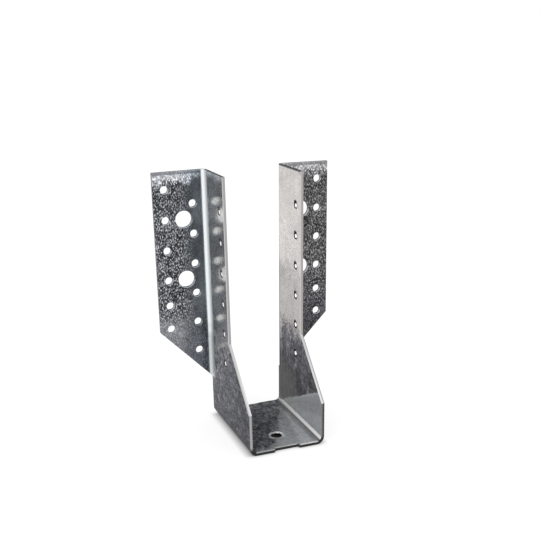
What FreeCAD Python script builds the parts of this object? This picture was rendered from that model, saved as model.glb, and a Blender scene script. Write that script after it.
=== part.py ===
"""Joist hanger with outward header flanges, folded from one blank of galvanised sheet.

Frame: +X across the joist, +Y into the header that the flanges are nailed to, +Z up.
The origin is the middle of the footprint, on the underside of the seat.
The right half is built first and mirrored. The seat's own cut-outs follow on the whole.
"""

import FreeCAD, Part
import math
import os

import Sketcher

NODE = "joist_hanger"

# Driving dimensions in millimetres and degrees
SIZES = {
    "gauge": 2.0,
    "joist_width": 46.0,
    "side_length": 169.0,
    "side_flare": 0.63,
    "overall_depth": 75.0,
    "seat_bend_radius": 3.0,
    "rear_setback": 2.5,
    "upper_depth": 40.3,
    "slant_foot": 27.0,
    "slant_top": 62.0,
    "flange_reach": 34.0,
    "flange_bend_radius": 2.5,
    "bevel_foot": 27.5,
    "bevel_top": 62.8,
    "nail_hole": 5.0,
    "nail_pitch": 20.0,
    "inner_row_offset": 8.0,
    "inner_row_from_top": 21.5,
    "inner_row_end": 40.0,
    "outer_row_offset": 26.4,
    "outer_row_from_top": 11.4,
    "outer_row_end": 90.0,
    "outer_low_top": 80.5,
    "outer_low_pitch": 16.0,
    "outer_low_rows": 2,
    "bolt_hole": 11.0,
    "bolt_offset": 14.4,
    "bolt_from_top": 31.4,
    "bolt_pitch": 40.0,
    "bolt_rows": 2,
    "side_nail_depth": 32.0,
    "side_nail_from_top": 22.5,
    "side_nail_end": 40.0,
    "seat_hole": 7.5,
    "seat_hole_rim": 0.9,
    "seat_hole_from_front": 19.5,
    "notch_width": 15.0,
    "notch_depth": 2.0,
    "notch_flank": 1.0,
    "rear_notch_width": 16.0,
    "rear_notch_depth": 0.5,
    "overrun": 6.0,
}

# Places that several features share, as formulas of the driving dimensions
HALF_WIDTH = "(Sizes.joist_width / 2)"
FRONT = "(-Sizes.overall_depth / 2)"
HEADER = "(Sizes.overall_depth / 2)"
REAR = f"({HEADER} - Sizes.rear_setback)"
BEND_START = f"({HEADER} - Sizes.gauge - Sizes.flange_bend_radius)"
ABOVE_SIDES = "(Sizes.side_length + Sizes.overrun)"
SEAT_TOP = "Sizes.gauge"
INNER_TOP = "(Sizes.side_length - Sizes.inner_row_from_top)"
OUTER_TOP = "(Sizes.side_length - Sizes.outer_row_from_top)"
SIDE_NAIL_TOP = "(Sizes.side_length - Sizes.side_nail_from_top)"
BOLT_TOP = "(Sizes.side_length - Sizes.bolt_from_top)"


def add_sizes(doc):
    """Sheet of the driving dimensions, one alias to a row."""
    sheet = doc.addObject("Spreadsheet::Sheet", "Sizes")
    for row, (name, value) in enumerate(SIZES.items(), start=1):
        sheet.set(f"A{row}", name)
        sheet.set(f"B{row}", str(value))
        sheet.setAlias(f"B{row}", name)
    doc.recompute()


def new_sketch(body, name, role):
    """Empty sketch on one of the body's origin planes."""
    plane = next(item for item in body.Origin.OriginFeatures if item.Role == role)
    sketch = body.newObject("Sketcher::SketchObject", name)
    sketch.AttachmentSupport = [(plane, "")]
    sketch.MapMode = "FlatFace"
    return sketch


def side_sketch(body, name, role, axis):
    """Sketch in the frame of the flared side: its origin is at the foot of the side's inner
    face, and it is turned about the given local axis by the flare."""
    sketch = new_sketch(body, name, role)
    turn = FreeCAD.Rotation(axis, SIZES["side_flare"])
    sketch.AttachmentOffset = FreeCAD.Placement(FreeCAD.Vector(), turn)
    sketch.setExpression("AttachmentOffset.Rotation.Angle", "Sizes.side_flare")
    sketch.setExpression("AttachmentOffset.Base.x", HALF_WIDTH)
    return sketch


def bind(sketch, formula, *rule):
    """Add a dimension to the sketch and tie it to a formula."""
    number = sketch.addConstraint(Sketcher.Constraint(*rule))
    sketch.setExpression(f"Constraints[{number}]", formula)


def place_point(sketch, geometry, point, across, up):
    """Bind a point's two distances from the sketch's origin to formulas."""
    bind(sketch, across, "DistanceX", -1, 1, geometry, point, 1.0)
    bind(sketch, up, "DistanceY", -1, 1, geometry, point, 1.0)


def draw_outline(sketch, corners):
    """Closed outline of straight lines through corners given as pairs of formulas.
    It is drawn as a regular polygon first, and the bound distances then pull it into shape."""
    count = len(corners)
    ring = []
    for index in range(count):
        angle = 2 * math.pi * index / count
        ring.append(FreeCAD.Vector(math.cos(angle), math.sin(angle), 0))
    for index in range(count):
        sketch.addGeometry(Part.LineSegment(ring[index], ring[(index + 1) % count]), False)
    for index in range(count):
        joint = Sketcher.Constraint("Coincident", index, 2, (index + 1) % count, 1)
        sketch.addConstraint(joint)
    for index, (across, up) in enumerate(corners):
        place_point(sketch, index, 1, across, up)


def draw_circle(sketch, diameter, across, up):
    """Circle bound to a diameter and a centre, all given as formulas."""
    number = sketch.addGeometry(Part.Circle(FreeCAD.Vector(), FreeCAD.Vector(0, 0, 1), 1.0))
    bind(sketch, diameter, "Diameter", number, 1.0)
    place_point(sketch, number, 3, across, up)


def cut_through(body, sketch, name):
    """Pocket of the sketch through the whole body, to both sides of the sketch."""
    pocket = body.newObject("PartDesign::Pocket", name)
    pocket.Profile = sketch
    pocket.SideType = "Symmetric"
    pocket.Type = "ThroughAll"
    return pocket


def row_of_holes(body, name, pocket, sketch, pitch, count):
    """Repeat a hole downwards along the sketch's upright axis."""
    row = body.newObject("PartDesign::LinearPattern", name)
    row.Originals = [pocket]
    row.Direction = (sketch, ["V_Axis"])
    row.Reversed = True
    row.Mode = "Spacing"
    row.setExpression("Offset", pitch)
    row.setExpression("Occurrences", count)
    body.Tip = row
    return row


def rows_between(top, end):
    """Number of nail holes that fit at the pitch from the top one down to a lowest height."""
    return f"floor(({top} - {end}) / Sizes.nail_pitch) + 1"


def half_channel(body):
    """Right half of the U that carries the joist: half of the seat and the flared side."""
    sketch = new_sketch(body, "ChannelSection", "XZ_Plane")
    lean = "sin(Sizes.side_flare)"
    rise = "cos(Sizes.side_flare)"
    draw_outline(
        sketch,
        [
            ("0", "0"),
            (f"{HALF_WIDTH} + Sizes.gauge / {rise}", "0"),
            (
                f"{HALF_WIDTH} + Sizes.gauge * {rise} + Sizes.side_length * {lean}",
                f"Sizes.side_length * {rise} - Sizes.gauge * {lean}",
            ),
            (
                f"{HALF_WIDTH} + Sizes.side_length * {lean}",
                f"Sizes.side_length * {rise}",
            ),
            (f"{HALF_WIDTH} + Sizes.gauge * tan(Sizes.side_flare)", SEAT_TOP),
            ("0", SEAT_TOP),
        ],
    )
    pad = body.newObject("PartDesign::Pad", "Channel")
    pad.Profile = sketch
    pad.SideType = "Two sides"
    pad.setExpression("Length", "-" + FRONT)
    pad.setExpression("Length2", REAR)
    return pad


def edges_along_depth(shape, inside):
    """Name the edges that run front to back at the corner of seat and side: the inner corner
    if inside is true, otherwise the outer one."""
    gauge = SIZES["gauge"]
    names = []
    for number, edge in enumerate(shape.Edges, start=1):
        middle = edge.CenterOfMass
        along = edge.tangentAt(edge.FirstParameter)
        height = gauge if inside else 0.0
        if abs(along.y) < 0.999 or abs(middle.z - height) > gauge / 4:
            continue
        if middle.x > SIZES["joist_width"] / 4:
            names.append(f"Edge{number}")
    return names


def round_seat_bend(doc, body, base, name, inside):
    """Bend radius between the seat and the side, on one face of the sheet."""
    doc.recompute()
    bend = body.newObject("PartDesign::Fillet", name)
    bend.Base = (base, edges_along_depth(base.Shape, inside))
    radius = "Sizes.seat_bend_radius" if inside else "Sizes.seat_bend_radius + Sizes.gauge"
    bend.setExpression("Radius", radius)
    return bend


def trim_side(body):
    """Narrow the side above the seat: a slanted and then an upright front edge."""
    sketch = new_sketch(body, "FrontOutline", "YZ_Plane")
    before = f"{FRONT} - Sizes.overrun"
    upper_front = f"{HEADER} - Sizes.upper_depth"
    draw_outline(
        sketch,
        [
            (before, "Sizes.slant_foot"),
            (FRONT, "Sizes.slant_foot"),
            (upper_front, "Sizes.slant_top"),
            (upper_front, ABOVE_SIDES),
            (before, ABOVE_SIDES),
        ],
    )
    return cut_through(body, sketch, "FrontTrim")


def clear_for_bend(body):
    """Take the flat side away where the bend into the flange replaces it."""
    sketch = new_sketch(body, "BendOutline", "YZ_Plane")
    behind = f"{HEADER} + Sizes.overrun"
    draw_outline(
        sketch,
        [
            (BEND_START, "Sizes.bevel_foot"),
            (behind, "Sizes.bevel_foot"),
            (behind, ABOVE_SIDES),
            (BEND_START, ABOVE_SIDES),
        ],
    )
    return cut_through(body, sketch, "BendClearance")


def draw_flange_section(sketch):
    """Bend and flange seen along the side: two concentric quarter arcs and the flat flange."""
    gauge = SIZES["gauge"]
    inner = SIZES["flange_bend_radius"]
    outer = inner + gauge
    start = SIZES["overall_depth"] / 2 - outer
    reach = SIZES["flange_reach"] + gauge
    centre = FreeCAD.Vector(outer, start, 0)
    up = FreeCAD.Vector(0, 0, 1)
    back_arc = Part.ArcOfCircle(Part.Circle(centre, up, outer), math.pi / 2, math.pi)
    front_arc = Part.ArcOfCircle(Part.Circle(centre, up, inner), math.pi / 2, math.pi)
    start_inside = FreeCAD.Vector(0, start, 0)
    start_outside = FreeCAD.Vector(gauge, start, 0)
    front_near = FreeCAD.Vector(outer, start + inner, 0)
    front_far = FreeCAD.Vector(reach, start + inner, 0)
    back_far = FreeCAD.Vector(reach, start + outer, 0)
    back_near = FreeCAD.Vector(outer, start + outer, 0)
    back = sketch.addGeometry(back_arc)
    front = sketch.addGeometry(front_arc)
    foot = sketch.addGeometry(Part.LineSegment(start_inside, start_outside))
    face = sketch.addGeometry(Part.LineSegment(front_near, front_far))
    tip = sketch.addGeometry(Part.LineSegment(front_far, back_far))
    rear = sketch.addGeometry(Part.LineSegment(back_far, back_near))
    rules = [
        ("Coincident", back, 2, foot, 1),
        ("Coincident", foot, 2, front, 2),
        ("Tangent", front, 1, face, 1),
        ("Coincident", face, 2, tip, 1),
        ("Coincident", tip, 2, rear, 1),
        ("Tangent", rear, 2, back, 1),
        ("Coincident", front, 3, back, 3),
        ("Horizontal", front, 3, foot, 2),
        ("Horizontal", foot),
        ("Horizontal", face),
        ("Horizontal", rear),
        ("Vertical", tip),
    ]
    for rule in rules:
        sketch.addConstraint(Sketcher.Constraint(*rule))
    bind(sketch, "Sizes.flange_bend_radius", "Radius", front, inner)
    bind(sketch, "Sizes.gauge", "DistanceX", foot, 1, foot, 2, gauge)
    bind(sketch, "Sizes.flange_reach + Sizes.gauge", "DistanceX", -1, 1, tip, 2, reach)
    place_point(sketch, foot, 1, "0", BEND_START)


def add_flange(body):
    """Bend and header flange, drawn across the side and raised along its flared length."""
    upright = FreeCAD.Vector(0, 1, 0)
    sketch = side_sketch(body, "FlangeSection", "XY_Plane", upright)
    shift = "Sizes.bevel_foot * sin(Sizes.side_flare)"
    sketch.setExpression("AttachmentOffset.Base.x", f"{HALF_WIDTH} + {shift}")
    sketch.setExpression("AttachmentOffset.Base.z", "Sizes.bevel_foot * cos(Sizes.side_flare)")
    draw_flange_section(sketch)
    pad = body.newObject("PartDesign::Pad", "Flange")
    pad.Profile = sketch
    pad.setExpression("Length", "Sizes.side_length - Sizes.bevel_foot")
    return pad


def front_sketch(body, name):
    """Sketch on the flange as seen from the front, in the frame of the flared side."""
    return side_sketch(body, name, "XZ_Plane", FreeCAD.Vector(0, 0, -1))


def bevel_flange(body):
    """Slanted lower edge of the flange, from the bend up to the outer edge."""
    sketch = front_sketch(body, "BevelOutline")
    tip = "Sizes.flange_reach + Sizes.gauge"
    beyond = f"{tip} + Sizes.overrun"
    below = "Sizes.bevel_foot - Sizes.overrun"
    draw_outline(
        sketch,
        [
            ("Sizes.gauge", "Sizes.bevel_foot"),
            (tip, "Sizes.bevel_top"),
            (beyond, "Sizes.bevel_top"),
            (beyond, below),
            ("Sizes.gauge + Sizes.overrun", below),
        ],
    )
    return cut_through(body, sketch, "FlangeBevel")


def flange_row(body, name, diameter, offset, top, pitch, count):
    """One upright row of holes in the flange, its offset taken from the side's outer face."""
    sketch = front_sketch(body, name + "Centre")
    draw_circle(sketch, diameter, f"Sizes.gauge + {offset}", top)
    hole = cut_through(body, sketch, name + "Hole")
    return row_of_holes(body, name, hole, sketch, pitch, count)


def punch_flange(body):
    """Nail holes and bolt holes into the header."""
    nail = "Sizes.nail_hole"
    flange_row(
        body,
        "InnerNails",
        nail,
        "Sizes.inner_row_offset",
        INNER_TOP,
        "Sizes.nail_pitch",
        rows_between(INNER_TOP, "Sizes.inner_row_end"),
    )
    flange_row(
        body,
        "OuterNails",
        nail,
        "Sizes.outer_row_offset",
        OUTER_TOP,
        "Sizes.nail_pitch",
        rows_between(OUTER_TOP, "Sizes.outer_row_end"),
    )
    flange_row(
        body,
        "OuterLowNails",
        nail,
        "Sizes.outer_row_offset",
        "Sizes.outer_low_top",
        "Sizes.outer_low_pitch",
        "Sizes.outer_low_rows",
    )
    flange_row(
        body,
        "Bolts",
        "Sizes.bolt_hole",
        "Sizes.bolt_offset",
        BOLT_TOP,
        "Sizes.bolt_pitch",
        "Sizes.bolt_rows",
    )


def punch_side(body):
    """Row of nail holes into the joist, behind the narrow part's front edge."""
    sketch = new_sketch(body, "SideNailsCentre", "YZ_Plane")
    depth = f"{HEADER} - Sizes.side_nail_depth"
    draw_circle(sketch, "Sizes.nail_hole", depth, SIDE_NAIL_TOP)
    hole = cut_through(body, sketch, "SideNailsHole")
    count = rows_between(SIDE_NAIL_TOP, "Sizes.side_nail_end")
    return row_of_holes(body, "SideNails", hole, sketch, "Sizes.nail_pitch", count)


def mirror_half(doc, body):
    """Whole hanger from its right half."""
    doc.recompute()
    plane = next(item for item in body.Origin.OriginFeatures if item.Role == "YZ_Plane")
    mirror = body.newObject("PartDesign::Mirrored", "BothHalves")
    mirror.TransformMode = "Whole shape"
    mirror.MirrorPlane = (plane, [""])
    body.Tip = mirror
    return mirror


def notch_seat(body):
    """Shallow notches that the parting punch leaves in the seat's front and rear edges."""
    sketch = new_sketch(body, "FrontNotchOutline", "XY_Plane")
    half = "(Sizes.notch_width / 2)"
    wide = f"({half} + Sizes.notch_flank)"
    end = f"{FRONT} + Sizes.notch_depth"
    draw_outline(
        sketch,
        [
            (f"-{wide}", f"{FRONT} - Sizes.overrun"),
            (wide, f"{FRONT} - Sizes.overrun"),
            (wide, FRONT),
            (half, end),
            (f"-{half}", end),
            (f"-{wide}", FRONT),
        ],
    )
    cut_through(body, sketch, "FrontNotch")
    sketch = new_sketch(body, "RearNotchOutline", "XY_Plane")
    half = "(Sizes.rear_notch_width / 2)"
    start = f"{REAR} - Sizes.rear_notch_depth"
    behind = f"{REAR} + Sizes.overrun"
    draw_outline(
        sketch,
        [
            (f"-{half}", start),
            (half, start),
            (half, behind),
            (f"-{half}", behind),
        ],
    )
    return cut_through(body, sketch, "RearNotch")


def punch_seat(doc, body):
    """Hole through the seat, its upper rim drawn in by the punch."""
    sketch = new_sketch(body, "SeatHoleCentre", "XY_Plane")
    place = f"{FRONT} + Sizes.seat_hole_from_front"
    draw_circle(sketch, "Sizes.seat_hole", "0", place)
    hole = cut_through(body, sketch, "SeatHole")
    doc.recompute()
    rim = body.newObject("PartDesign::Fillet", "SeatHoleRim")
    names = []
    for number, edge in enumerate(hole.Shape.Edges, start=1):
        curve = edge.Curve
        if not isinstance(curve, Part.Circle) or abs(curve.Axis.z) < 0.999:
            continue
        centred = abs(curve.Center.x) < SIZES["gauge"] / 4
        if centred and abs(curve.Center.z - SIZES["gauge"]) < SIZES["gauge"] / 4:
            names.append(f"Edge{number}")
    rim.Base = (hole, names)
    rim.setExpression("Radius", "Sizes.seat_hole_rim")
    return rim


def build_hanger(doc):
    """The folded sheet as one body."""
    body = doc.addObject("PartDesign::Body", "Hanger")
    body.Label = NODE
    channel = half_channel(body)
    inside = round_seat_bend(doc, body, channel, "SeatBendInside", True)
    round_seat_bend(doc, body, inside, "SeatBendOutside", False)
    trim_side(body)
    clear_for_bend(body)
    add_flange(body)
    bevel_flange(body)
    punch_flange(body)
    punch_side(body)
    mirror_half(doc, body)
    notch_seat(body)
    punch_seat(doc, body)
    doc.recompute()
    return body


def check_document(doc):
    """Stop if any object failed or the shape is not one valid solid."""
    for item in doc.Objects:
        if "Invalid" in item.State or "Error" in item.State:
            raise RuntimeError(f"{item.Name} failed: {item.State}")
    for item in doc.Objects:
        if item.TypeId != "PartDesign::Body":
            continue
        shape = item.Shape
        if shape.isNull() or not shape.isValid() or len(shape.Solids) != 1:
            raise RuntimeError(f"{item.Label} is not one valid solid")


def main():
    doc = FreeCAD.newDocument("JoistHanger")
    add_sizes(doc)
    body = build_hanger(doc)
    check_document(doc)
    box = body.Shape.BoundBox
    print(f"{body.Label}: volume {body.Shape.Volume:.1f} mm3")
    print(f"X {box.XMin:.3f} to {box.XMax:.3f}, Y {box.YMin:.3f} to {box.YMax:.3f}")
    print(f"Z {box.ZMin:.3f} to {box.ZMax:.3f}, faces {len(body.Shape.Faces)}")
    os.makedirs("parts", exist_ok=True)
    body.Shape.exportStep(f"parts/{body.Label}.step")


main()
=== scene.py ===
"""Joist hanger of folded galvanised sheet on a pale floor, with procedural zinc whose tones include
painted reflections, highlights and shade.
"""

import math
from typing import NamedTuple

import bpy
from mathutils import Matrix, Vector


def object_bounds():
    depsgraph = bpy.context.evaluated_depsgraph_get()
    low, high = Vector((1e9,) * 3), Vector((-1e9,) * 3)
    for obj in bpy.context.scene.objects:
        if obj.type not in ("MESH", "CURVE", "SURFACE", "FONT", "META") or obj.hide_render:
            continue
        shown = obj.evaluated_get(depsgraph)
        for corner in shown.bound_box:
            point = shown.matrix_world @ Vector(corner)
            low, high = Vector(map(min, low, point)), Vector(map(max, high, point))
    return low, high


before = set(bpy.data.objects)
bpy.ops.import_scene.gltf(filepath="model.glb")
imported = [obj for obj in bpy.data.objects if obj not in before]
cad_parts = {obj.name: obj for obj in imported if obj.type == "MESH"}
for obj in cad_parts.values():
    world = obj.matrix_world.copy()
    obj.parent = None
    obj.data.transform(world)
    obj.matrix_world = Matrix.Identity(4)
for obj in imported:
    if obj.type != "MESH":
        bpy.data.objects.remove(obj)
cad_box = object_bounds()


class Row(NamedTuple):
    """Row of equal holes, set out downwards from the top edge."""

    offset: float
    from_top: float
    pitch: float
    count: int
    radius: float


# Sizes of the hanger in millimetres
HALF_DEPTH = cad_box[1][1] * 1000.0
HEIGHT = cad_box[1][2] * 1000.0
GAUGE = 2.0
HALF_JOIST = 23.0
FLARE = math.tan(math.radians(0.63))
SLANT_FOOT = 27.0
BEVEL_FOOT = 27.5
FLANGE_REACH = 34.0
HALF_NOTCH = 7.5
NOTCH_DEPTH = 2.0
SEAT_HOLE_FROM_FRONT = 19.5
SEAT_HOLE_RADIUS = 3.75
SEAT_HOLE_RIM = 0.9
SIDE_NAILS = Row(offset=32.0, from_top=22.5, pitch=20.0, count=6, radius=2.5)
FLANGE_ROWS = (
    Row(offset=8.0, from_top=21.5, pitch=20.0, count=6, radius=2.5),
    Row(offset=26.4, from_top=11.4, pitch=20.0, count=4, radius=2.5),
    Row(offset=26.4, from_top=88.5, pitch=16.0, count=2, radius=2.5),
    Row(offset=14.4, from_top=31.4, pitch=40.0, count=2, radius=5.5),
)

# Tones of single places as they are seen, from 0 for black to 1 for white; several are painted
# shade, painted reflections and painted highlights, as marked below
BACK_LIP_TONE = 0.5
# Painted shade in the crease of the seat's bend
CREASE_SHADE_TONE = 0.38
# Painted shade at the foot of the sheared front edges
CUT_FOOT_SHADE_TONE = 0.2
DEEPEST_GRAIN_TONE = 0.16
# Lowest tone of the painted dark reflection on the outside of the left side
DEEPEST_DARK_REFLECTION_TONE = 0.12
LEFT_BEND_TONE = 0.6
# Painted shade on the ends of the seat's notch
NOTCH_END_SHADE_TONE = 0.3
# Painted dark reflection at the foot of the left side's outside
OUTER_FOOT_TONE = 0.22
# Painted highlight on the lower rims of the flange's holes
RIM_HIGHLIGHT_TONE = 0.74
REAR_EDGE_TONE = 0.36
# Base of the lighter painted reflection on the seat
SEAT_TONE = 0.73
# Painted dark reflection along the top arris inside the right side
TOP_ARRIS_TONE = 0.4
# Tone of the smooth, darker patch low on the inside of the right side
SMOOTH_PATCH_TONE = 0.32

# Seen tones are turned to light values by this power
DISPLAY_POWER = 2.2


class Value:
    """Number that varies over a surface, with a plain number's operators, ramps and blends."""

    def __init__(self, graph, socket):
        self.graph = graph
        self.socket = socket

    def math(self, operation, other=0.0):
        return self.graph.number("ShaderNodeMath", (self, other), operation=operation)

    def __add__(self, other):
        return self.math("ADD", other)

    def __sub__(self, other):
        return self.math("SUBTRACT", other)

    def __rsub__(self, other):
        return self.graph.number("ShaderNodeMath", (other, self), operation="SUBTRACT")

    def __mul__(self, other):
        return self.math("MULTIPLY", other)

    def __truediv__(self, other):
        return self.math("DIVIDE", other)

    def __neg__(self):
        return self * -1.0

    def __abs__(self):
        return self.math("ABSOLUTE")

    def ramp(self, start, end, low=0.0, high=1.0):
        """Smooth step from low to high as this value goes from start to end."""
        items = (self, start, end, low, high)
        return self.graph.number("ShaderNodeMapRange", items, interpolation_type="SMOOTHSTEP")

    def line(self, start, end, low, high):
        """Straight line from low to high as this value goes from start to end, level beyond."""
        return self.graph.number("ShaderNodeMapRange", (self, start, end, low, high))

    def sway(self, amount, reach=0.15):
        """Swing by plus and minus the amount, for a noise that stays near one half."""
        return self.line(0.5 - reach, 0.5 + reach, -amount, amount)

    def blend(self, kind, slot, first, second):
        """Mix node of two things of one kind, with this value as the share of the second."""
        node = self.graph.add("ShaderNodeMix", data_type=kind)
        self.graph.feed(node.inputs[0], self)
        self.graph.feed(node.inputs[slot], first)
        self.graph.feed(node.inputs[slot + 1], second)
        return node

    def mix(self, first, second):
        """Blend of two numbers."""
        return Value(self.graph, self.blend("FLOAT", 2, first, second).outputs[0])

    def turn(self, first, second):
        """Blend of two directions."""
        return self.blend("VECTOR", 4, first, second).outputs[1]

    def tint(self, first, second):
        """Blend of two colours."""
        return self.blend("RGBA", 6, first, second).outputs[2]


class Graph:
    """Short calls for the nodes of one material or world."""

    def __init__(self, owner):
        owner.use_nodes = True
        self.tree = owner.node_tree
        self.tree.nodes.clear()

    def add(self, kind, **settings):
        node = self.tree.nodes.new(kind)
        for name, value in settings.items():
            setattr(node, name, value)
        return node

    def feed(self, socket, item):
        """Link a value or another node's output to an input, or write a plain number there."""
        if isinstance(item, Value):
            item = item.socket
        if isinstance(item, bpy.types.NodeSocket):
            self.tree.links.new(item, socket)
        else:
            socket.default_value = item

    def number(self, kind, items, **settings):
        """First output of a new node whose inputs are fed in order."""
        node = self.add(kind, **settings)
        for socket, item in zip(node.inputs, items):
            self.feed(socket, item)
        return Value(self, node.outputs[0])

    def parts(self, vector):
        """The three numbers of a vector."""
        node = self.add("ShaderNodeSeparateXYZ")
        self.feed(node.inputs[0], vector)
        return [Value(self, socket) for socket in node.outputs]

    def noise(self, place, scale, detail, roughness=0.5, distortion=0.0):
        node = self.add("ShaderNodeTexNoise")
        self.feed(node.inputs["Vector"], place)
        node.inputs["Scale"].default_value = scale
        node.inputs["Detail"].default_value = detail
        node.inputs["Roughness"].default_value = roughness
        node.inputs["Distortion"].default_value = distortion
        return Value(self, node.outputs[0])

    def stretch(self, place, scale, turn=(0.0, 0.0, 0.0)):
        node = self.add("ShaderNodeMapping")
        self.feed(node.inputs["Vector"], place)
        node.inputs["Rotation"].default_value = turn
        node.inputs["Scale"].default_value = scale
        return node.outputs[0]


class Spot:
    """Distances in millimetres, the turn of the face and the patterns at the shaded point.

    across is the distance from the middle plane. through runs into the side's sheet from its
    inner face, and outward runs on from the outer face along the flange. back goes from zero
    at the front to one at the back. left, right, low and over_slope are one where they say.
    """

    def __init__(self, g):
        place = g.add("ShaderNodeTexCoord").outputs["Object"]
        self.x, self.y, self.z = (part * 1000.0 for part in g.parts(place))
        self.across = abs(self.x)
        self.left = self.x.math("LESS_THAN", 0.0)
        self.right = 1.0 - self.left
        self.away = self.x.math("SIGN")
        self.through = self.across - HALF_JOIST - self.z * FLARE
        self.outward = self.through - GAUGE
        self.below_top = HEIGHT - self.z
        self.before_flange = HALF_DEPTH - GAUGE - self.y
        self.back = self.y.line(-37.0, 37.0, 0.0, 1.0)
        self.low = self.z.ramp(80.0, 60.0)
        # One above the slanting line where the flange's bevel is reflected on the left side's
        # outside
        self.over_slope = (self.z - self.before_flange * 0.74).ramp(25.5, 29.0)
        facing = g.parts(g.add("ShaderNodeNewGeometry").outputs["True Normal"])
        self.facing_out = facing[0] * self.away
        self.facing_front = -facing[1]
        self.facing_up = facing[2]
        self.patch = g.noise(place, scale=260.0, detail=1.0)
        self.cloud = g.noise(place, scale=55.0, detail=2.0)
        self.fine = g.noise(place, scale=1300.0, detail=1.0)
        self.mottle = g.noise(place, scale=330.0, detail=5.0, roughness=0.68, distortion=0.5)
        self.coarse = g.noise(place, scale=160.0, detail=3.0, roughness=0.6, distortion=0.8)
        self.blotch = g.noise(place, scale=75.0, detail=3.0, roughness=0.6, distortion=1.2)
        tall = g.stretch(place, (1.2, 1.0, 0.62))
        self.grain = g.noise(tall, scale=1150.0, detail=1.0)
        deep = g.stretch(place, (1.0, 0.4, 1.0))
        self.grit = g.noise(deep, scale=800.0, detail=2.0, roughness=0.6)
        leaning = g.stretch(place, (160.0, 200.0, 22.0), turn=(0.5, 0.0, 0.0))
        self.streaks = g.noise(leaning, scale=1.0, detail=3.0, roughness=0.6)


class Parts:
    """Share of each face and bend of the hanger at the shaded point.

    rise climbs the seat's bend from the seat to the side, and along runs over the flange's
    bend from the flange to the side, both in millimetres.
    """

    def __init__(self, at):
        self.flange = at.outward.ramp(0.5, 1.7)
        self.inner = at.facing_out.ramp(-0.2, -0.6)
        self.outer_left = at.left * at.facing_out.ramp(0.2, 0.6)
        self.cut = at.facing_front.ramp(0.5, 0.65) * at.outward.ramp(0.4, -0.2)

        climb = at.z + at.across - (HALF_JOIST + GAUGE)
        self.rise = climb / at.back.mix(1.0, 0.7)
        self.seat = at.z.ramp(GAUGE + 1.6, GAUGE + 0.4) * climb.ramp(-1.8, -2.6)
        self.seat *= at.facing_up.ramp(-0.5, 0.1)
        self.upper_face = at.through.ramp(0.4, 0.1) * at.z.math("GREATER_THAN", GAUGE - 0.1)
        self.low_bend = self.rise.ramp(-0.6, 0.8) * self.rise.ramp(3.6, 1.8) * self.upper_face
        self.crease = climb.ramp(-2.2, -1.4) * climb.ramp(0.7, -0.3) * self.upper_face

        self.along = at.before_flange - at.outward
        self.flange_bend = self.along.ramp(9.6, 5.3) * at.z.ramp(BEVEL_FOOT - 1.0, BEVEL_FOOT + 1.5)
        self.flange_bend *= at.before_flange.ramp(-0.3, -0.1) * at.outward.ramp(-0.6, -0.2)
        # Bright stripe over the flange's bend: a painted highlight
        self.stripe = self.along.ramp(-1.8, -0.8) * self.flange_bend

        self.painted_dark_reflection = painted_dark_reflection(at)
        self.smooth_patch = smooth_patch(at)
        self.foot = foot(at)
        self.dull = (1.0 - self.low_bend) * (self.inner * self.foot)
        self.dull = self.dull.math("MAXIMUM", self.seat)


def painted_dark_reflection(at):
    """Share of the dull zone on the outside of the left side, next to the flange's foot, whose dark
    tone is a painted reflection of the flange.
    """
    height = at.z + at.blotch.sway(4.0)
    return height.ramp(68.0, 54.0) * at.facing_out.ramp(0.2, 0.6) * at.over_slope * at.left


def smooth_patch(at):
    """Share of the smooth patch low on the inside of the right side, towards the back."""
    height = at.z + at.blotch.sway(5.0)
    return at.y.ramp(-6.0, 14.0) * height.ramp(36.0, 24.0, 0.0, 0.8) * at.right


def foot(at):
    """Share of the lighter strip along the foot of the right side, on the inside, a painted
    reflection of the seat.
    """
    line = at.z + at.y * 0.46 + at.mottle.sway(0.8, 0.2)
    return line.ramp(17.2, 18.6, 1.0, 0.0) * at.right


def flange_tone(at):
    """Flange: coarse bright grains on a dark ground, smooth and dark next to the bend, whitish
    under the top edge. The dark ground is a painted reflection of dark surroundings, the grains are
    partly the spangle's grain and partly painted glints, the smooth dark next to the bend is a
    painted reflection of the side, and the whitish band is a painted reflection.
    """
    # Bright grains: partly the spangle's grain, partly painted glints
    speck = at.grain + (at.patch - 0.5) * 0.45
    speck = speck.line(0.3, 0.62, -0.42, 0.1) + at.grain.ramp(0.54, 0.66, 0.0, 0.5)
    # Dark ground: a painted reflection of dark surroundings
    tone = at.outward.line(GAUGE, FLANGE_REACH, 0.32, 0.36) + at.left * 0.04
    tone += at.outward.ramp(10.0, 4.0, 0.0, 0.065)
    tone = at.low.mix(tone, at.left.mix(0.3, at.outward.ramp(GAUGE, 9.0, 0.38, 0.56)))
    tone += at.cloud.sway(0.06, 0.2)

    reach = at.outward.line(GAUGE, 10.0, 2.6, 7.5) + at.patch.sway(1.2, 0.2)
    fade = at.outward.line(3.0, 12.0, 3.2, 2.6)
    # Whitish band under the top edge: a painted reflection
    white = ((at.below_top - reach) / fade).ramp(-1.0, 1.0, 1.0, 0.0)
    peak = at.left.mix(0.66, at.outward.line(3.0, 16.0, 0.81, 0.78))
    edge_band = at.below_top.ramp(0.3, 0.8, 0.72, 0.54)
    tone = white.mix(tone, at.below_top.ramp(2.0, 2.7).mix(edge_band, peak))

    # Less grain next to the bend, where the smooth dark tone is a painted reflection of the side
    spread = at.outward.ramp(5.0, 20.0, 0.12, 1.0) * at.left.mix(0.42, 0.62)
    spread = at.low.mix(spread, 0.26)
    spread = white.mix(spread, at.below_top.ramp(2.5, 6.0, 0.45, 0.75))
    spread = at.below_top.ramp(2.6, 1.8).mix(spread, 0.18)
    tone = (tone + spread * speck).math("MAXIMUM", DEEPEST_GRAIN_TONE)
    # Painted highlight on the lower rims of the holes
    return flange_rim_highlights(at).mix(tone, RIM_HIGHLIGHT_TONE)


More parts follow.
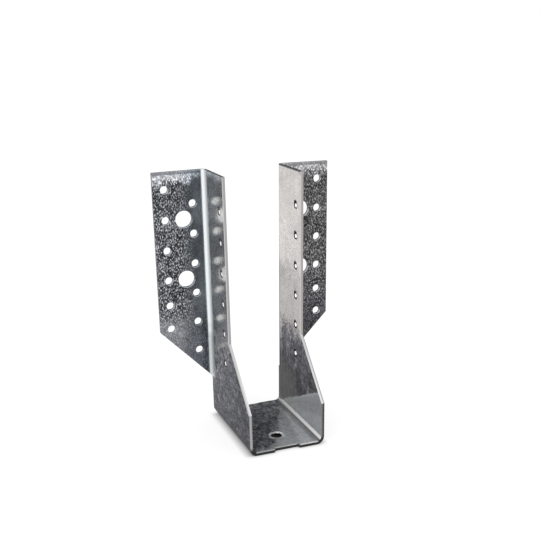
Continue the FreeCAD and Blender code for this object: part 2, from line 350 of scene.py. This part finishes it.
def flange_rim_highlights(at):
    """Share of the painted highlight on the lower rims that the punch left around the holes of the
    flange.
    """
    lean = 0.3
    rims = 0.0
    for row in FLANGE_ROWS:
        up, inside = beside_row(at, row)
        aside = at.outward - row.offset
        lower = (up - aside * at.away * lean).ramp(-0.2 * row.radius, -0.7 * row.radius)
        rim = near_hole(aside, up, row.radius, 0.9) * lower * inside
        rims = rim.math("MAXIMUM", rims)
    return rims


def beside_row(at, row):
    """Height above the nearest hole of a row, and one over the height that the row takes up."""
    top = HEIGHT - row.from_top
    half = row.pitch / 2
    turn = ((at.z - (top - half)) / row.pitch).math("FRACT")
    over = at.z.math("GREATER_THAN", top - row.count * row.pitch + half)
    return (turn - 0.5) * row.pitch, over * at.z.math("LESS_THAN", top + half)


def near_hole(aside, along, radius, rim):
    """Share of the rim around a hole, from the distances to its centre."""
    far = (aside * aside + along * along).math("SQRT")
    return far.ramp(radius + rim, radius + rim * 0.5)


def outer_tone(at, part):
    """Outside of the left side: mirror-like above, a painted dark reflection towards the seat."""
    clean = at.z.ramp(125.0, 145.0, 0.97, 1.0) + at.mottle.line(0.35, 0.65, -0.1, 0.03)
    clean += at.grit.ramp(0.46, 0.62, 0.01, -0.11)
    # Painted dark reflection: lighter above the line where the flange's bevel is reflected, darker
    # below it and towards the front
    dark_reflection_tone = at.over_slope.mix(at.z.ramp(10.0, 40.0, 0.3, 0.34), 0.52)
    dark_reflection_tone += at.blotch.sway(0.04)
    dark_reflection_tone += at.y.ramp(15.0, -30.0, 0.02, -0.07)
    dark_reflection_tone += at.coarse.sway(0.08)
    dark_reflection_tone += at.mottle.sway(0.12)
    dark_reflection_tone += at.grit.sway(0.14)
    dark_reflection_tone = dark_reflection_tone.math("MAXIMUM", DEEPEST_DARK_REFLECTION_TONE)
    # Painted dark reflection, darkest at the foot
    dark_reflection_tone = at.z.ramp(8.0, 3.0).mix(dark_reflection_tone, OUTER_FOOT_TONE)
    share = at.over_slope.mix(1.0, part.painted_dark_reflection)
    return at.left.mix(plain_tone(at), share.mix(clean, dark_reflection_tone))


def plain_tone(at):
    """Even zinc of the faces that are turned away, a little darker towards the seat."""
    return at.z.ramp(10.0, 90.0, 0.52, 0.74) + at.blotch.sway(0.05) + at.mottle.sway(0.06)


def inner_tone(at, part):
    """Inside of the right side: pale above, charcoal low down as a painted dark reflection, lighter
    again at the foot as a painted reflection of the seat, with a dark painted reflection along the
    top arris.
    """
    height = at.z + at.blotch.sway(3.5) + at.grit.sway(2.0)
    tone = height.ramp(48.0, 69.0).mix(0.36, height.ramp(96.0, 110.0, 0.73, 0.85))
    pepper = at.fine.ramp(0.5, 0.7, 0.04, -0.16) + at.cloud.sway(0.04, 0.2)
    pepper += at.coarse.sway(0.03)
    # Mottle and streaks of the charcoal painted dark reflection low down
    dark_reflection_tone = at.mottle.sway(0.1) + at.grit.sway(0.06) + at.blotch.sway(0.09)
    dark_reflection_tone += at.streaks.ramp(0.5, 0.68, -0.03, 0.12)
    # Charcoal low down: a painted dark reflection, darker further down
    dark = height.ramp(56.0, 70.0, 1.0, 0.0)
    tone += dark.mix(pepper, dark_reflection_tone)
    tone -= dark * at.z.ramp(50.0, 30.0, 0.0, 0.12)
    # Smooth, darker patch low down towards the back
    tone = part.smooth_patch.mix(tone, SMOOTH_PATCH_TONE)
    rear = at.y.ramp(31.5, 34.0) * at.z.ramp(125.0, 85.0, 0.0, 0.7)
    tone = rear.mix(tone, REAR_EDGE_TONE)
    # Lighter strip at the foot: a painted reflection of the seat
    smooth = at.y.ramp(-22.0, 5.0, 0.76, 0.79) + at.mottle.sway(0.05)
    tone = part.foot.mix(tone, smooth)
    # Dark line along the top arris: a painted dark reflection
    tone = at.below_top.ramp(0.9, 0.5).mix(tone, TOP_ARRIS_TONE)
    return at.left.mix(tone, plain_tone(at))


def seat_tone(at):
    """Seat: marbled dark on the left, smoother and lighter towards the right. The dark tone is a
    painted reflection of dark surroundings, the lighter one a painted reflection of the right side,
    and the seat is darker close to the right bend as painted shade.
    """
    depth = 31.0 - at.y
    # Edge of the lighter painted reflection of the right side
    edge = at.x - (HALF_JOIST - depth * 0.47) + at.mottle.sway(1.5, 0.2)
    lighter = (edge / depth.line(0.0, 70.0, 0.5, 4.0)).ramp(-1.0, 1.0)
    # Marbled dark part; its darkness is a painted reflection of dark surroundings
    marbled = at.mottle.sway(0.12) + at.fine.ramp(0.58, 0.72, -0.01, 0.16)
    marbled += at.coarse.sway(0.08)
    marbled += at.grit.sway(0.1)
    marbled += at.y.ramp(-29.0, -36.0, at.y.ramp(-10.0, 25.0, 0.44, 0.54), 0.56)
    # Lighter part: a painted reflection of the right side
    smooth = at.mottle.sway(0.05) + SEAT_TONE + at.grit.sway(0.05)
    # Darker close to the bend: painted shade
    smooth -= at.across.ramp(17.5, 19.8, 0.0, 0.15)
    return lighter.mix(marbled, smooth)


def cut_tone(at):
    """Sheared front edges: a bright arris and bright sloping edges, which are painted highlights,
    and a darker break with painted shade, darker low down and darkest at the foot.
    """
    # Bright arris: a painted highlight
    arris = at.left.mix(at.through.ramp(0.7, 0.3), at.through.ramp(1.3, 1.7))
    upright = arris.mix(0.64, 0.78)
    far = at.left.mix(at.through.ramp(1.5, 1.9, 0.0, -0.3), 0.0)
    far += at.through.ramp(0.9, 1.4) * at.z.ramp(60.0, 30.0, -0.03, -0.12)
    # Sloping edges: a bright painted highlight, with painted shade lower down
    sloping = at.z.ramp(60.0, 30.0, 0.8, 0.9) + far
    tone = at.facing_up.ramp(0.25, 0.4).mix(upright, sloping)
    low_right = at.through.line(0.0, GAUGE, 0.5, 0.2)
    low_left = at.through.line(GAUGE, 1.3, 0.42, 0.67) - at.through.line(1.0, 0.1, 0.0, 0.12)
    below_slant = at.z.ramp(SLANT_FOOT + 0.5, SLANT_FOOT - 0.5)
    tone = below_slant.mix(tone, at.left.mix(low_right, low_left))
    # Painted shade at the foot
    return at.z.ramp(6.0, 2.5).mix(tone, CUT_FOOT_SHADE_TONE)


def seat_edge(at, part, tone):
    """Painted highlight on the lip along the seat's front edge and its notch, and painted shade on
    the notch's ends.
    """
    notch = at.across.ramp(HALF_NOTCH + 0.8, HALF_NOTCH - 0.2) * NOTCH_DEPTH
    behind_edge = at.y + HALF_DEPTH - notch
    # Painted highlight on the lip along the front edge
    lip = behind_edge.ramp(1.3, 0.7) * at.z.ramp(1.4, 1.8) * part.seat
    tone = lip.mix(tone, at.x.ramp(-5.0, 15.0, 0.82, 0.98))
    # Painted shade on the notch's ends
    notch_end = abs(at.facing_out).ramp(0.6, 0.8) * at.across.ramp(18.0, 16.0)
    return notch_end.mix(tone, NOTCH_END_SHADE_TONE)


def side_hole_rims(at, tone):
    """Painted shade of dents around the nail holes in the sides, walls painted dark as shade, and
    bores painted bright as light.
    """
    up, inside = beside_row(at, SIDE_NAILS)
    aside = at.y - (HALF_DEPTH - SIDE_NAILS.offset)
    rim = near_hole(aside, up, SIDE_NAILS.radius, 1.0) * inside
    rim *= at.outward.ramp(0.2, 0.1) * at.through.ramp(-0.2, -0.1)
    # Painted shade above and beside each hole, standing for dents round it
    above = (up - aside * 1.2).ramp(-1.6, 0.2)
    dent_shade = tone + above.mix(0.03, at.left.mix(-0.5, -0.3))
    deep = at.left.mix(at.through, -at.outward)
    # Painted light on the deeper part of each bore, under its top; the rest of the wall is painted
    # dark as shade
    lit = deep.ramp(0.5, 0.9) * up.ramp(0.7, 0.0) * up.ramp(-2.3, -1.9)
    bore = lit.mix(at.left.mix(0.1, 0.4), 0.98)
    wall = at.through.ramp(0.05, 0.1) * at.outward.ramp(-0.05, -0.1)
    return rim.mix(tone, wall.mix(dent_shade, bore))


def seat_hole_rim(at, tone):
    """Drawn-in rim of the seat's hole with a painted highlight on it and on its front lip, and the
    wall below it, painted darker to the right as shade.
    """
    behind = at.y + (HALF_DEPTH - SEAT_HOLE_FROM_FRONT)
    # Painted highlight on the drawn-in rim and on its front lip
    ring = near_hole(at.x, behind, SEAT_HOLE_RADIUS, 1.5)
    lip = near_hole(at.x, behind, SEAT_HOLE_RADIUS + SEAT_HOLE_RIM, 1.8)
    lip *= behind.ramp(-0.5, -2.5, 0.0, 0.8)
    ring = ring.math("MAXIMUM", lip) * at.z.ramp(2.6, 2.4)
    # Wall under the rim: painted darker to the right as shade
    wall = at.x.ramp(-3.0, 2.0, 0.55, 0.15)
    bright = at.across.ramp(1.0, 3.5, 0.72, 0.95)
    drawn_in = at.z.ramp(GAUGE - 1.0, GAUGE - 0.85)
    return ring.mix(tone, drawn_in.mix(wall, bright))


def zinc_tone(at, part):
    """Tone of every face and bend, as it is seen, with painted reflections, highlights and shade in
    it.
    """
    tone = part.inner.mix(outer_tone(at, part), inner_tone(at, part))
    tone = part.seat.mix(tone, seat_tone(at))
    # Painted shade in the crease of the seat's bend
    tone = part.crease.mix(tone, CREASE_SHADE_TONE)
    # Seat's bend: a bright painted highlight on the right side, an even tone on the left
    tone = part.low_bend.mix(tone, at.left.mix(at.back.mix(0.87, 0.62), LEFT_BEND_TONE))
    tone = part.cut.mix(tone, cut_tone(at))
    tone = seat_edge(at, part, tone)
    tone = side_hole_rims(at, tone)
    tone = seat_hole_rim(at, tone)
    tone = part.flange.mix(tone, flange_tone(at))
    back_lip = at.before_flange.ramp(-0.1, -0.2) * part.flange
    back_lip *= abs(at.facing_front).ramp(0.6, 0.4)
    tone = back_lip.mix(tone, BACK_LIP_TONE)
    # Painted highlight: the bright stripe over the flange's bend
    return part.stripe.mix(tone, part.along.line(1.0, 7.5, 0.98, 0.55))


def opaque(red, green, blue):
    """Colour with full cover."""
    return (red, green, blue, 1.0)


def zinc_colour(at, part, tone):
    """Cast of every face and bend: bluish where it is dark, warm where it is bright."""
    blue = at.left.tint(opaque(1.04, 1.0, 1.17), opaque(0.98, 1.0, 1.24))
    warm = at.left.tint(opaque(1.043, 1.0, 0.965), opaque(1.0, 0.99, 0.975))
    colour = tone.ramp(0.42, 0.62).tint(blue, warm)
    cool = tone.ramp(0.45, 0.6).tint(opaque(0.98, 1.0, 1.1), opaque(0.97, 1.0, 1.03))
    colour = part.dull.tint(colour, cool)
    colour = (part.inner * part.smooth_patch).tint(colour, opaque(0.99, 1.0, 0.97))
    colour = part.low_bend.tint(colour, opaque(1.0, 1.01, 0.985))

    sloping = at.facing_up.ramp(0.25, 0.4)
    right_cut = sloping.tint(opaque(1.03, 0.985, 0.96), opaque(1.0, 1.0, 1.0))
    colour = part.cut.tint(colour, at.left.tint(right_cut, opaque(1.0, 0.985, 0.99)))

    off_bend = at.outward.ramp(4.0, 20.0)
    left_flange = off_bend.tint(opaque(0.88, 1.0, 1.13), opaque(0.98, 1.0, 1.08))
    high = at.z.ramp(60.0, 100.0)
    right_flange = high.tint(opaque(1.0, 1.0, 1.09), opaque(1.02, 1.0, 1.03))
    colour = part.flange.tint(colour, at.left.tint(right_flange, left_flange))
    return part.stripe.tint(colour, opaque(0.96, 1.0, 1.02))


def zinc_normal(g, at, part):
    """Normal with the flange's grains in it, and with rounder bends."""
    bump = g.add("ShaderNodeBump")
    bump.inputs["Strength"].default_value = 0.15
    bump.inputs["Distance"].default_value = 0.0003
    g.feed(bump.inputs["Height"], at.grain * part.flange)
    share = part.along.ramp(-1.9, -1.1) * part.flange_bend
    normal = rounded(g, bump.outputs[0], share, (at.away, -1.0, 0.0))
    share = part.rise.ramp(0.0, 1.0) * part.rise.ramp(4.0, 2.6) * part.upper_face
    return rounded(g, normal, share, (-at.away, 0.0, 1.0))


def rounded(g, normal, share, corner):
    """Normal that turns to the corner's own direction, so that a bend looks rounder."""
    joined = g.add("ShaderNodeCombineXYZ")
    for socket, value in zip(joined.inputs, corner):
        g.feed(socket, value)
    placed = g.add("ShaderNodeVectorTransform", vector_type="NORMAL")
    placed.convert_from = "OBJECT"
    placed.convert_to = "WORLD"
    g.feed(placed.inputs[0], joined.outputs[0])
    whole = g.add("ShaderNodeVectorMath", operation="NORMALIZE")
    g.feed(whole.inputs[0], share.turn(normal, placed.outputs[0]))
    return whole.outputs[0]


def zinc():
    """Galvanised steel, its tones written as they are seen, painted reflections, highlights and
    shade among them, and turned to light values last.
    """
    material = bpy.data.materials.new("zinc_coat")
    g = Graph(material)
    at = Spot(g)
    part = Parts(at)
    tone = zinc_tone(at, part)
    scaled = g.add("ShaderNodeVectorMath", operation="SCALE")
    g.feed(scaled.inputs[0], zinc_colour(at, part, tone))
    g.feed(scaled.inputs[3], tone.math("POWER", DISPLAY_POWER))

    dull = part.dull.math("MAXIMUM", part.flange * at.low * at.left)
    dull_metal = 0.4
    dark_reflection_metal = 0.05
    metallic = dull.mix(part.outer_left.mix(0.86, 0.9), dull_metal)
    stripe_roughness = 0.35
    roughness = at.fine.line(0.3, 0.7, 0.12, 0.16) + part.outer_left * 0.04

    shader = g.add("ShaderNodeBsdfPrincipled")
    shader.inputs["Specular Tint"].default_value = opaque(0.6, 0.6, 0.6)
    g.feed(shader.inputs["Base Color"], scaled.outputs[0])
    g.feed(shader.inputs["Metallic"], part.painted_dark_reflection.mix(metallic, dark_reflection_metal))
    g.feed(shader.inputs["Roughness"], part.stripe.mix(roughness, stripe_roughness))
    g.feed(shader.inputs["Normal"], zinc_normal(g, at, part))
    output = g.add("ShaderNodeOutputMaterial")
    g.feed(output.inputs["Surface"], shader.outputs[0])
    return material


def seen_directly(g):
    """One for rays from the camera, mirrors and glass, and zero for the rest."""
    path = g.add("ShaderNodeLightPath")
    shown = Value(g, path.outputs["Is Camera Ray"])
    for kind in ("Is Glossy Ray", "Is Transmission Ray"):
        shown = shown.math("MAXIMUM", path.outputs[kind])
    return shown


def white_world():
    """White for the camera and for reflections, a plain soft light for the rest."""
    plain_light = 0.75
    seen_white = 1.0
    world = bpy.data.worlds.new("studio")
    bpy.context.scene.world = world
    g = Graph(world)
    light = g.add("ShaderNodeBackground")
    light.inputs["Color"].default_value = opaque(1.0, 1.0, 1.0)
    g.feed(light.inputs["Strength"], seen_directly(g).mix(plain_light, seen_white))
    g.feed(g.add("ShaderNodeOutputWorld").inputs["Surface"], light.outputs[0])


def flat_panel(name, corners, material):
    mesh = bpy.data.meshes.new(name)
    mesh.from_pydata(corners, [], [tuple(range(len(corners)))])
    panel = bpy.data.objects.new(name, mesh)
    bpy.context.scene.collection.objects.link(panel)
    mesh.materials.append(material)
    return panel


def pale_floor():
    """Floor that stays white where it is lit and keeps the shadow, with painted contact shade where
    occlusion dims its glow, and a dark patch painted as shade under the seat.
    """
    half = 6.0
    drop = 0.0002
    seat_half = (0.02, 0.033)
    blur = 0.001
    glow_strength = 0.76
    material = bpy.data.materials.new("pale_floor")
    g = Graph(material)
    matt = g.add("ShaderNodeBsdfDiffuse")
    glow = g.add("ShaderNodeEmission")
    glow.inputs["Color"].default_value = opaque(1.0, 1.0, 1.0)
    contact = g.add("ShaderNodeAmbientOcclusion")
    contact.inputs["Distance"].default_value = 0.005
    place = g.parts(g.add("ShaderNodeTexCoord").outputs["Object"])
    # Dark patch under the seat: painted shade, seen through the seat's hole
    near = [abs(part).ramp(edge + blur, edge - blur) for part, edge in zip(place, seat_half)]
    under = near[0] * near[1]
    colour = under.tint(opaque(0.35, 0.35, 0.35), opaque(0.03, 0.025, 0.022))
    g.feed(matt.inputs["Color"], colour)
    # Occlusion dims the glow near the hanger as painted contact shade; there is no glow under the
    # seat
    strength = under.mix(Value(g, contact.outputs["AO"]) * glow_strength, 0.0)
    g.feed(glow.inputs["Strength"], seen_directly(g) * strength)
    both = g.add("ShaderNodeAddShader")
    g.feed(both.inputs[0], matt.outputs[0])
    g.feed(both.inputs[1], glow.outputs[0])
    g.feed(g.add("ShaderNodeOutputMaterial").inputs["Surface"], both.outputs[0])
    corners = [(-half, -half, 0.0), (half, -half, 0.0), (half, half, 0.0), (-half, half, 0.0)]
    floor = flat_panel("floor", corners, material)
    floor.location.z = -drop


def dark_card():
    """Dark studio card behind the hanger on the right, which only reflections see."""
    near = (0.0, 1.4)
    far = (1.0, 1.1)
    low = 0.12
    high = 0.9
    material = bpy.data.materials.new("dark_card")
    g = Graph(material)
    glow = g.add("ShaderNodeEmission")
    glow.inputs["Color"].default_value = opaque(0.05, 0.05, 0.055)
    g.feed(g.add("ShaderNodeOutputMaterial").inputs["Surface"], glow.outputs[0])
    corners = [(*near, low), (*far, low), (*far, high), (*near, high)]
    card = flat_panel("dark_card", corners, material)
    card.visible_camera = False
    card.visible_diffuse = False
    card.visible_shadow = False
    card.visible_transmission = False


def softbox(name, place, size, power):
    """Square lamp that looks at the middle of the hanger."""
    aim = Vector((0.0, 0.0, 0.08))
    lamp = bpy.data.lights.new(name, "AREA")
    lamp.shape = "SQUARE"
    lamp.size = size
    lamp.energy = power
    holder = bpy.data.objects.new(name, lamp)
    bpy.context.scene.collection.objects.link(holder)
    holder.location = place
    holder.rotation_euler = (Vector(place) - aim).to_track_quat("Z", "Y").to_euler()


def camera():
    """Camera fitted to the photograph's hole centres and edges."""
    turn = math.radians(-20.9925)
    rise = math.radians(14.8951)
    roll = math.radians(-0.9412)
    place = (-0.19299, -0.51467, 0.25368)
    focal_pixels = 898.135
    photo_pixels = 540.0
    ahead = Vector((-math.sin(turn), math.cos(turn), 0.0)) * math.cos(rise)
    ahead.z = -math.sin(rise)
    side = ahead.cross(Vector((0.0, 0.0, 1.0))).normalized()
    up = side.cross(ahead)
    across = math.cos(roll) * side + math.sin(roll) * up
    upright = math.cos(roll) * up - math.sin(roll) * side
    lens = bpy.data.cameras.new("camera")
    lens.sensor_width = 36.0
    lens.lens = focal_pixels / photo_pixels * lens.sensor_width
    lens.clip_start = 0.01
    holder = bpy.data.objects.new("camera", lens)
    bpy.context.scene.collection.objects.link(holder)
    axes = Matrix((across, upright, -ahead)).transposed().to_4x4()
    holder.matrix_world = Matrix.Translation(place) @ axes
    bpy.context.scene.camera = holder


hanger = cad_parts["joist_hanger"]
metal = zinc()
for slot in hanger.material_slots:
    slot.material = metal
white_world()
pale_floor()
dark_card()
softbox("key", place=(-0.9, -0.8, 1.2), size=0.9, power=6.0)
softbox("fill", place=(0.9, -1.0, 0.9), size=0.8, power=2.0)
camera()
bpy.context.scene.view_settings.view_transform = "Standard"
